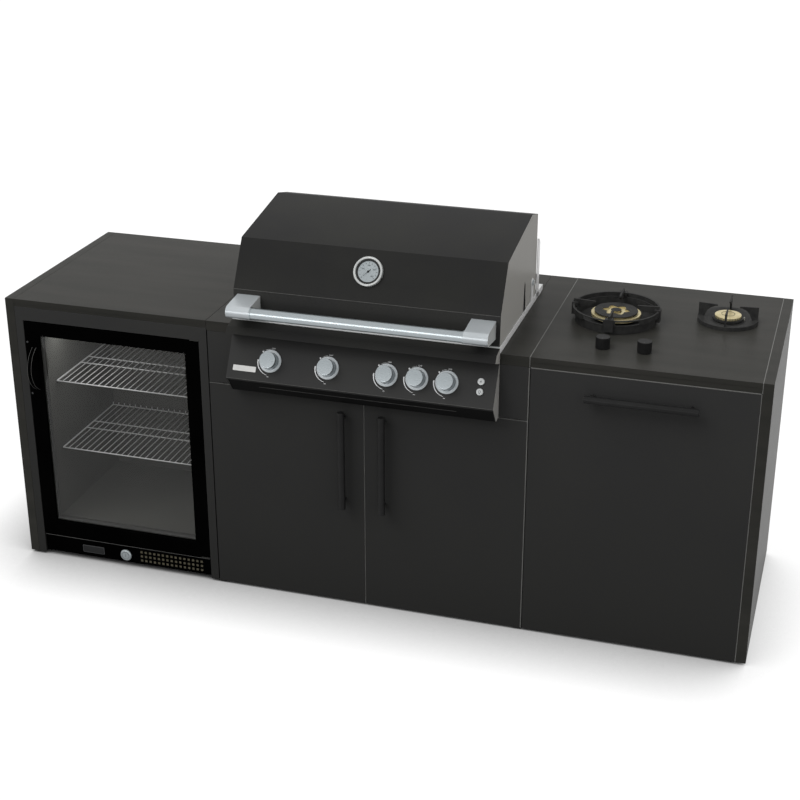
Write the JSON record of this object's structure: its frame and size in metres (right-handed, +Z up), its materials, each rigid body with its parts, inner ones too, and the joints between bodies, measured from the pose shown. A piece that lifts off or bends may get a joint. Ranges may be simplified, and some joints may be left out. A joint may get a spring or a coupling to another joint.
{
  "type": "outdoor kitchen island",
  "caption": "Long outdoor kitchen island with a glass-door fridge, a hooded gas grill over two doors, and a wok burner and small burner over a pull-out bay.",
  "frame": {"origin": "middle of the footprint, on the floor; the footprint runs from the nose of the hood handle to the worktop's back edge", "axes": "+X to the right along the front, +Y towards the back, +Z up"},
  "size_m": [2.375, 0.804, 1.208],
  "materials": {
    "stone_top": "matte",
    "graphite_front": "matte",
    "black_steel": "satin",
    "stainless": "satin",
    "satin_metal": "satin",
    "dial": "satin",
    "cast_iron": "matte",
    "brass": "satin",
    "black_plastic": "satin",
    "fridge_liner": "matte",
    "shelf_wire": "satin",
    "glass": "gloss",
    "gasket": "matte"
  },
  "bodies": {
    "island": {"left_end_panel": "stone_top", "right_end_panel": "stone_top", "worktop_left": "stone_top", "worktop_right": "stone_top", "surround_left": "stone_top", "surround_right": "stone_top", "surround_back": "stone_top", "fridge_bay_frame": "graphite_front", "grill_cabinet": "graphite_front", "gas_cabinet": "graphite_front", "grill_bezel": "black_steel", "control_panel": "black_steel", "grill_flange": "stainless", "grill_firebox": "stainless", "burner_set": "stainless", "warming_rack": "stainless", "rear_burner": "stainless", "hood_hinge_bolt_left": "stainless", "hood_hinge_bolt_right": "stainless", "cooking_grate_left": "cast_iron", "cooking_grate_right": "cast_iron", "wok_bowl": "cast_iron", "wok_pan_support": "cast_iron", "wok_burner_cap": "cast_iron", "small_burner_base": "cast_iron", "wok_burner": "brass", "small_burner_cap": "brass", "gas_manifold": "brass", "gas_inlet": "brass", "fridge_base_strip": "black_plastic", "fridge_cabinet": "fridge_liner", "fridge_shelf_lower": "shelf_wire", "fridge_shelf_upper": "shelf_wire"},
    "hood": {"hood": "black_steel", "hood_handle_bar": "stainless", "hood_handle_bracket_left": "satin_metal", "hood_handle_bracket_right": "satin_metal", "hood_thermometer": "dial"},
    "fridge_door": {"fridge_door_frame": "black_plastic", "fridge_door_glass": "glass", "fridge_door_gasket": "gasket", "fridge_door_handle": "black_plastic"},
    "left_door": {"cabinet_door_left": "graphite_front", "door_handle_left": "black_steel"},
    "right_door": {"cabinet_door_right": "graphite_front", "door_handle_right": "black_steel"},
    "gas_drawer": {"gas_drawer_front": "graphite_front", "gas_drawer_handle": "black_steel", "gas_drawer_box": "black_steel"},
    "drip_tray": {"drip_tray": "black_steel"},
    "fridge_lock": {"fridge_lock": "satin_metal"},
    "igniter_button": {"igniter_button": "satin_metal"},
    "light_button": {"light_button": "satin_metal"},
    "hob_knob_left": {"hob_knob_left": "black_plastic"},
    "hob_knob_right": {"hob_knob_right": "black_plastic"},
    "grill_knob_1": {"grill_knob_1": "satin_metal"},
    "grill_knob_2": {"grill_knob_2": "satin_metal"},
    "grill_knob_3": {"grill_knob_3": "satin_metal"},
    "grill_knob_4": {"grill_knob_4": "satin_metal"},
    "grill_knob_5": {"grill_knob_5": "satin_metal"}
  },
  "joints": [
    {"name": "hood_hinge", "type": "hinge", "parent": "island", "child": "hood", "pos_m": [0, 0.106, 0.985], "axis": [-1, 0, 0], "range_deg": [0, 85]},
    {"name": "fridge_door_hinge", "type": "hinge", "parent": "island", "child": "fridge_door", "pos_m": [-0.5455, -0.307, 0.46], "axis": [0, 0, 1], "range_deg": [0, 90]},
    {"name": "left_door_hinge", "type": "hinge", "parent": "island", "child": "left_door", "pos_m": [-0.4935, -0.307, 0.357], "axis": [0, 0, -1], "range_deg": [0, 90]},
    {"name": "right_door_hinge", "type": "hinge", "parent": "island", "child": "right_door", "pos_m": [0.4935, -0.307, 0.357], "axis": [0, 0, 1], "range_deg": [0, 90]},
    {"name": "gas_drawer_slide", "type": "slide", "parent": "island", "child": "gas_drawer", "axis": [0, -1, 0], "range_m": [0, 0.5]},
    {"name": "drip_tray_slide", "type": "slide", "parent": "island", "child": "drip_tray", "axis": [0, -1, 0], "range_m": [0, 0.38]},
    {"name": "grill_knob_1_turn", "type": "hinge", "parent": "island", "child": "grill_knob_1", "pos_m": [-0.27986, -0.3507, 0.81772], "axis": [0, -0.8718, 0.4899], "range_deg": [0, 150]},
    {"name": "grill_knob_2_turn", "type": "hinge", "parent": "island", "child": "grill_knob_2", "pos_m": [-0.09812, -0.3507, 0.81772], "axis": [0, -0.8718, 0.4899], "range_deg": [0, 150]},
    {"name": "grill_knob_3_turn", "type": "hinge", "parent": "island", "child": "grill_knob_3", "pos_m": [0.08404, -0.3507, 0.81772], "axis": [0, -0.8718, 0.4899], "range_deg": [0, 150]},
    {"name": "grill_knob_4_turn", "type": "hinge", "parent": "island", "child": "grill_knob_4", "pos_m": [0.17719, -0.3507, 0.81772], "axis": [0, -0.8718, 0.4899], "range_deg": [0, 150]},
    {"name": "grill_knob_5_turn", "type": "hinge", "parent": "island", "child": "grill_knob_5", "pos_m": [0.26786, -0.3507, 0.81772], "axis": [0, -0.8718, 0.4899], "range_deg": [0, 150]},
    {"name": "hob_knob_left_turn", "type": "hinge", "parent": "island", "child": "hob_knob_left", "pos_m": [0.68721, -0.181, 0.93], "axis": [0, 0, 1], "range_deg": [0, 150]},
    {"name": "hob_knob_right_turn", "type": "hinge", "parent": "island", "child": "hob_knob_right", "pos_m": [0.80839, -0.181, 0.93], "axis": [0, 0, 1], "range_deg": [0, 150]},
    {"name": "fridge_lock_turn", "type": "hinge", "parent": "island", "child": "fridge_lock", "pos_m": [-0.834, -0.309, 0.044], "axis": [0, -1, 0], "range_deg": [0, 90]},
    {"name": "igniter_press", "type": "slide", "parent": "island", "child": "igniter_button", "axis": [0, 0.8718, -0.4899], "range_m": [0, 0.003], "stiffness_N_per_m": 500, "springref_m": -0.004},
    {"name": "light_press", "type": "slide", "parent": "island", "child": "light_button", "axis": [0, 0.8718, -0.4899], "range_m": [0, 0.003], "stiffness_N_per_m": 500, "springref_m": -0.004}
  ]
}
